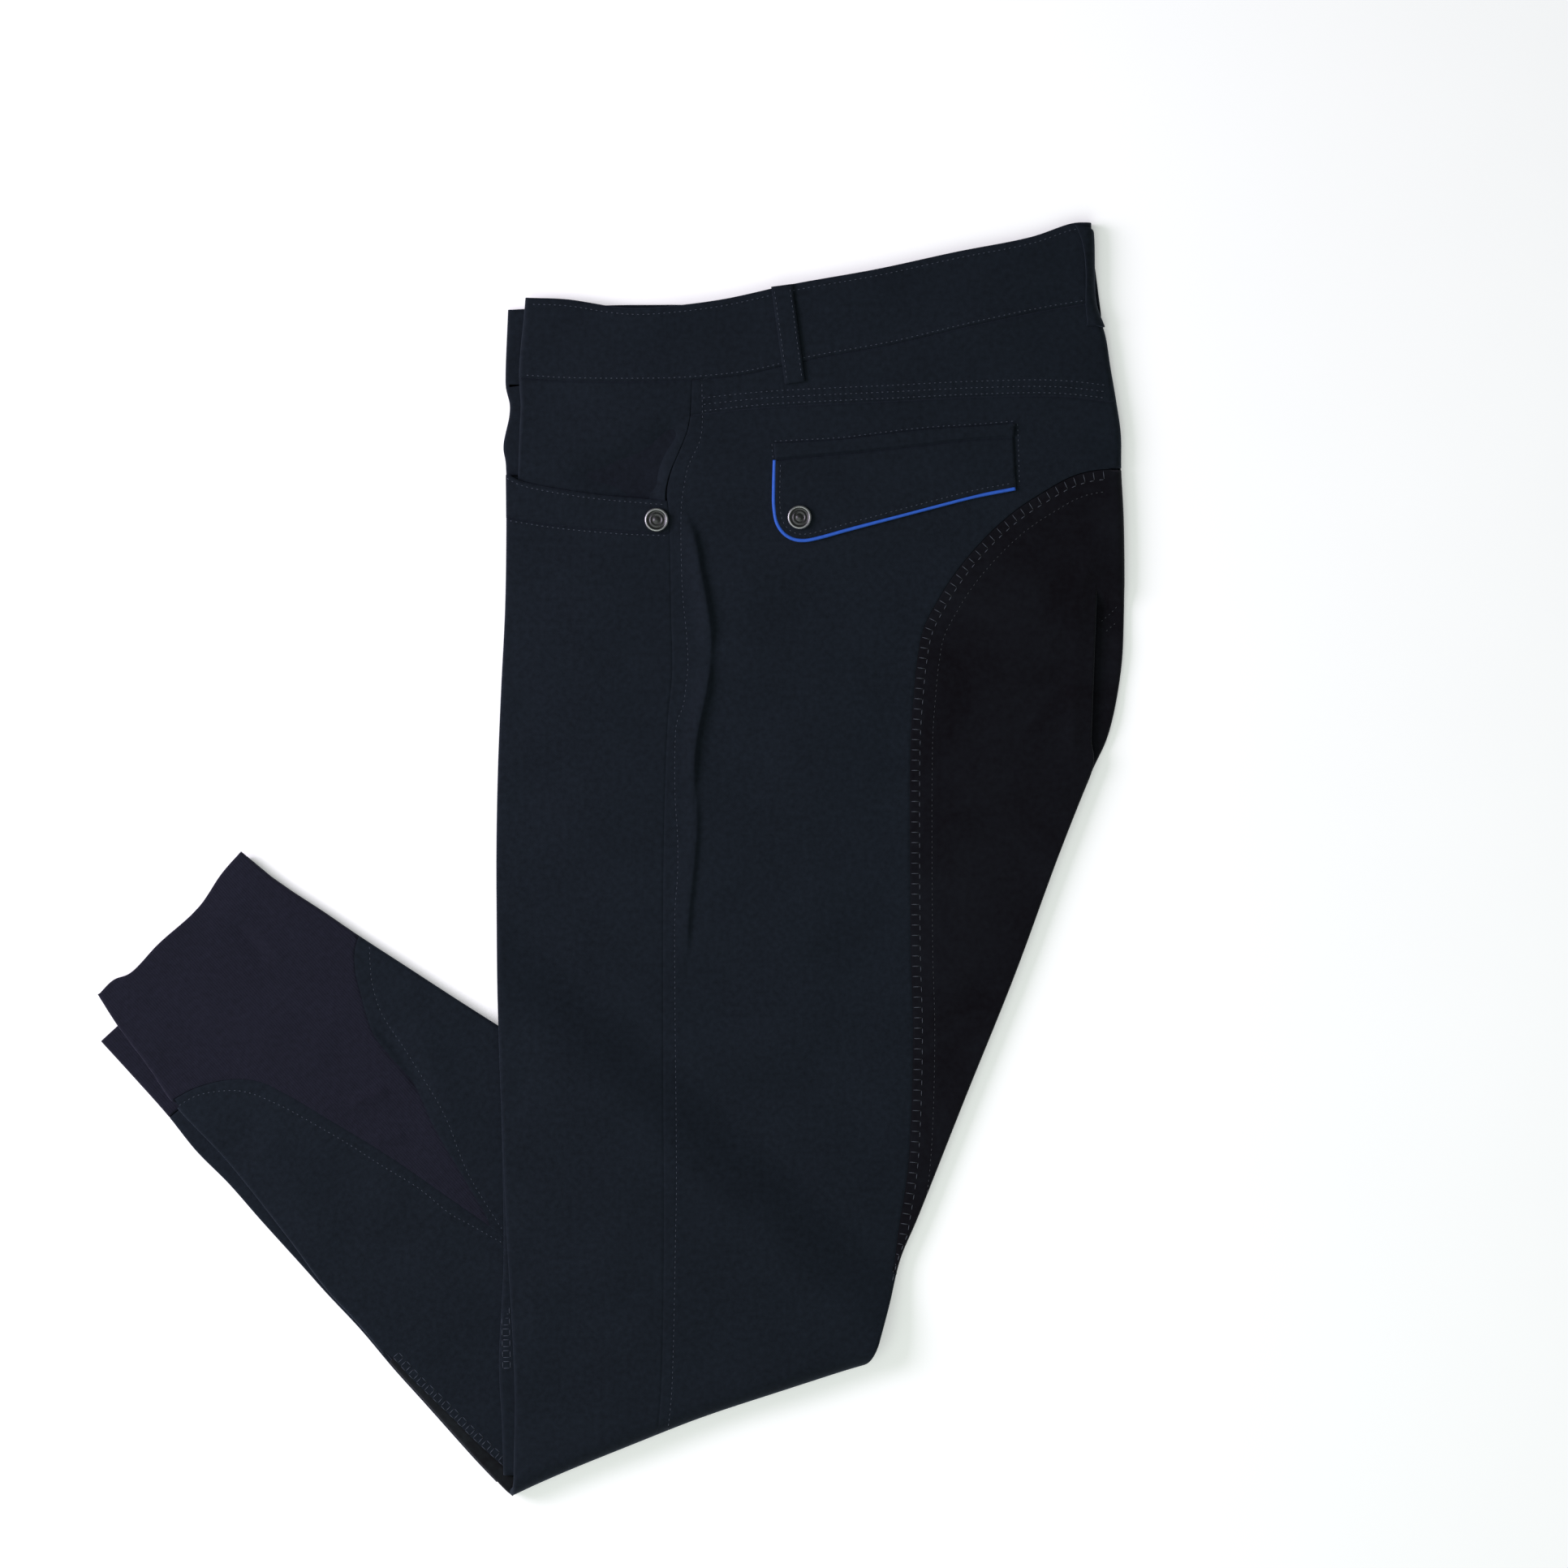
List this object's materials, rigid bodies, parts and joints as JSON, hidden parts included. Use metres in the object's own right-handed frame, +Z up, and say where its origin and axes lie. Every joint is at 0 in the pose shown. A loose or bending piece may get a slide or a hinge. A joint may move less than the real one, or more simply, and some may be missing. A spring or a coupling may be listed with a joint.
{
  "type": "riding breeches",
  "caption": "Full-seat riding breeches laid flat on their side and folded once at the knee, with piped flap pocket and elastic calf inserts.",
  "frame": {"origin": "centre of the bounding box in plan, on the surface that the breeches lie on", "axes": "+Y from the knee fold towards the waist, +X towards the seat, +Z up from the surface"},
  "size_m": [0.5698, 0.7057, 0.0187],
  "materials": {
    "navy_stretch": "matt navy stretch twill, fine weave",
    "suede_patch": "near-black synthetic suede with a short nap",
    "elastic_knit": "smooth dark violet-navy elastic knit",
    "blue_piping": "bright blue satin piping cord",
    "snap_metal": "polished steel cap with a dark plain centre",
    "inner_cloth": "matt navy stretch twill, inner layers"
  },
  "bodies": {
    "root": {"waistband_left": "navy_stretch", "pocket_facing_left": "navy_stretch", "pocket_band_left": "navy_stretch", "front_panel_left": "navy_stretch", "yoke_left": "navy_stretch", "back_panel_left": "navy_stretch", "seat_patch_left": "suede_patch", "waistband_right": "navy_stretch", "pocket_facing_right": "navy_stretch", "front_panel_right": "navy_stretch", "seat_patch_right": "suede_patch", "calf_insert_right": "elastic_knit", "calf_panel_right": "navy_stretch", "shin_panel_right": "navy_stretch", "knee_patch_right": "suede_patch", "calf_insert_left": "elastic_knit", "shin_panel_left": "navy_stretch", "back_pocket_flap": "navy_stretch", "back_pocket_welt": "navy_stretch", "belt_loop_side": "navy_stretch", "belt_loop_back": "navy_stretch", "flap_piping": "blue_piping", "snap_front": "snap_metal", "snap_back": "snap_metal", "hidden_layers": "inner_cloth"}
  },
  "joints": []
}
